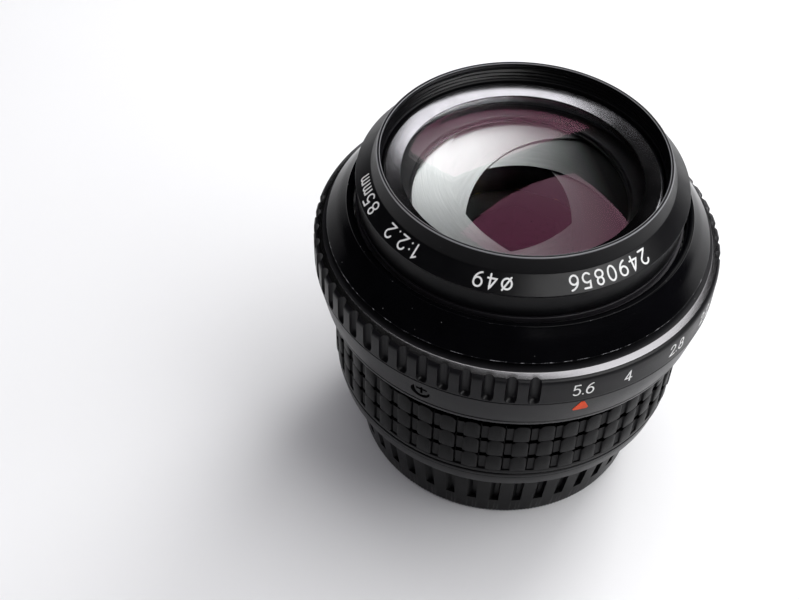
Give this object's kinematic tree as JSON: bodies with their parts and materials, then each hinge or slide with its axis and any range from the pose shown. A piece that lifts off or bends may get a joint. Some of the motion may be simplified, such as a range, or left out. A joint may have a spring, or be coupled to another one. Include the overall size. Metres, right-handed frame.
{
  "type": "prime camera lens",
  "caption": "Manual-focus prime lens standing on its rear cap: fluted front aperture ring with an iris, rubber focus ring with a sliding head, bayonet mount and front filter ring.",
  "frame": {"origin": "centre of the rear cap's underside, on the optical axis", "axes": "+Z along the optical axis towards the front of the lens; the aperture index faces -Y"},
  "size_m": [0.072, 0.072, 0.0669],
  "materials": {
    "mount_steel": "turned bright steel",
    "matt_black": "matt black flocking paint",
    "black_anodised": "satin black anodised aluminium",
    "ring_grey_black": "satin dark grey-black paint with white engraved numbers",
    "gloss_black": "glossy black paint, dusty, chipped at its lower edge",
    "brass": "greased machined brass",
    "bare_aluminium": "fine-turned aluminium",
    "grip_rubber": "moulded black rubber, slightly greyed",
    "black_screw": "blackened steel",
    "coated_glass": "polished optical glass with a purple-red coating",
    "clear_glass": "polished optical glass",
    "leaf_steel": "blued spring steel with a satin sheen",
    "cap_plastic": "moulded black plastic"
  },
  "bodies": {
    "barrel": {"bayonet_mount": "mount_steel", "flange_screw_1": "mount_steel", "flange_screw_2": "mount_steel", "flange_screw_3": "mount_steel", "flange_screw_4": "mount_steel", "flange_screw_5": "mount_steel", "rear_baffle": "matt_black", "mount_housing": "black_anodised", "guide_tube": "brass", "straight_key_1": "mount_steel", "straight_key_2": "mount_steel", "focus_stop": "mount_steel"},
    "focus_ring": {"helicoid_ring": "brass", "focus_sleeve": "black_anodised", "rubber_grip": "grip_rubber"},
    "lens_head": {"head_tube": "bare_aluminium", "index_band": "ring_grey_black", "index_screw_1": "black_screw", "index_screw_2": "black_screw", "index_screw_3": "black_screw", "click_ball": "mount_steel", "click_spring": "mount_steel", "shoulder_ring": "gloss_black", "filter_ring": "black_anodised", "front_retainer": "black_anodised", "lens_cell": "matt_black", "front_crown": "coated_glass", "rear_flint": "clear_glass", "iris_front_plate": "matt_black", "iris_base": "matt_black"},
    "aperture_control": {"aperture_ring": "ring_grey_black", "aperture_drive_pin": "mount_steel", "iris_cam_ring": "brass"},
    "leaf_1": {"iris_blade_1": "leaf_steel"},
    "leaf_2": {"iris_blade_2": "leaf_steel"},
    "leaf_3": {"iris_blade_3": "leaf_steel"},
    "leaf_4": {"iris_blade_4": "leaf_steel"},
    "leaf_5": {"iris_blade_5": "leaf_steel"},
    "cap": {"rear_cap": "cap_plastic"}
  },
  "joints": [
    {"name": "focus_turn", "type": "hinge", "parent": "barrel", "child": "focus_ring", "pos_m": [0, 0, 0.029], "axis": [0, 0, 1], "range_deg": [0, 250]},
    {"name": "head_slide", "type": "slide", "parent": "barrel", "child": "lens_head", "axis": [0, 0, 1], "range_m": [0, 0.016]},
    {"name": "aperture_turn", "type": "hinge", "parent": "lens_head", "child": "aperture_control", "pos_m": [0, 0, 0.047], "axis": [0, 0, 1], "range_deg": [-46, 0]},
    {"name": "leaf_1_swing", "type": "hinge", "parent": "lens_head", "child": "leaf_1", "pos_m": [0.01884, 0.01643, 0.0545], "axis": [0, 0, 1], "range_deg": [-22.6, 0]},
    {"name": "leaf_2_swing", "type": "hinge", "parent": "lens_head", "child": "leaf_2", "pos_m": [-0.00981, 0.023, 0.0545], "axis": [0, 0, 1], "range_deg": [-22.6, 0]},
    {"name": "leaf_3_swing", "type": "hinge", "parent": "lens_head", "child": "leaf_3", "pos_m": [-0.0249, -0.00222, 0.0545], "axis": [0, 0, 1], "range_deg": [-22.6, 0]},
    {"name": "leaf_4_swing", "type": "hinge", "parent": "lens_head", "child": "leaf_4", "pos_m": [-0.00558, -0.02437, 0.0545], "axis": [0, 0, 1], "range_deg": [-22.6, 0]},
    {"name": "leaf_5_swing", "type": "hinge", "parent": "lens_head", "child": "leaf_5", "pos_m": [0.02145, -0.01284, 0.0545], "axis": [0, 0, 1], "range_deg": [-22.6, 0]},
    {"name": "cap_pull", "type": "slide", "parent": "barrel", "child": "cap", "axis": [0, 0, -1], "range_m": [0, 0.02]}
  ],
  "couplings": [
    {"joint": "head_slide", "follows": "focus_turn", "m_per_rad": 0.003667},
    {"joint": "leaf_1_swing", "follows": "aperture_turn", "ratio": 0.4913},
    {"joint": "leaf_2_swing", "follows": "aperture_turn", "ratio": 0.4913},
    {"joint": "leaf_3_swing", "follows": "aperture_turn", "ratio": 0.4913},
    {"joint": "leaf_4_swing", "follows": "aperture_turn", "ratio": 0.4913},
    {"joint": "leaf_5_swing", "follows": "aperture_turn", "ratio": 0.4913}
  ]
}
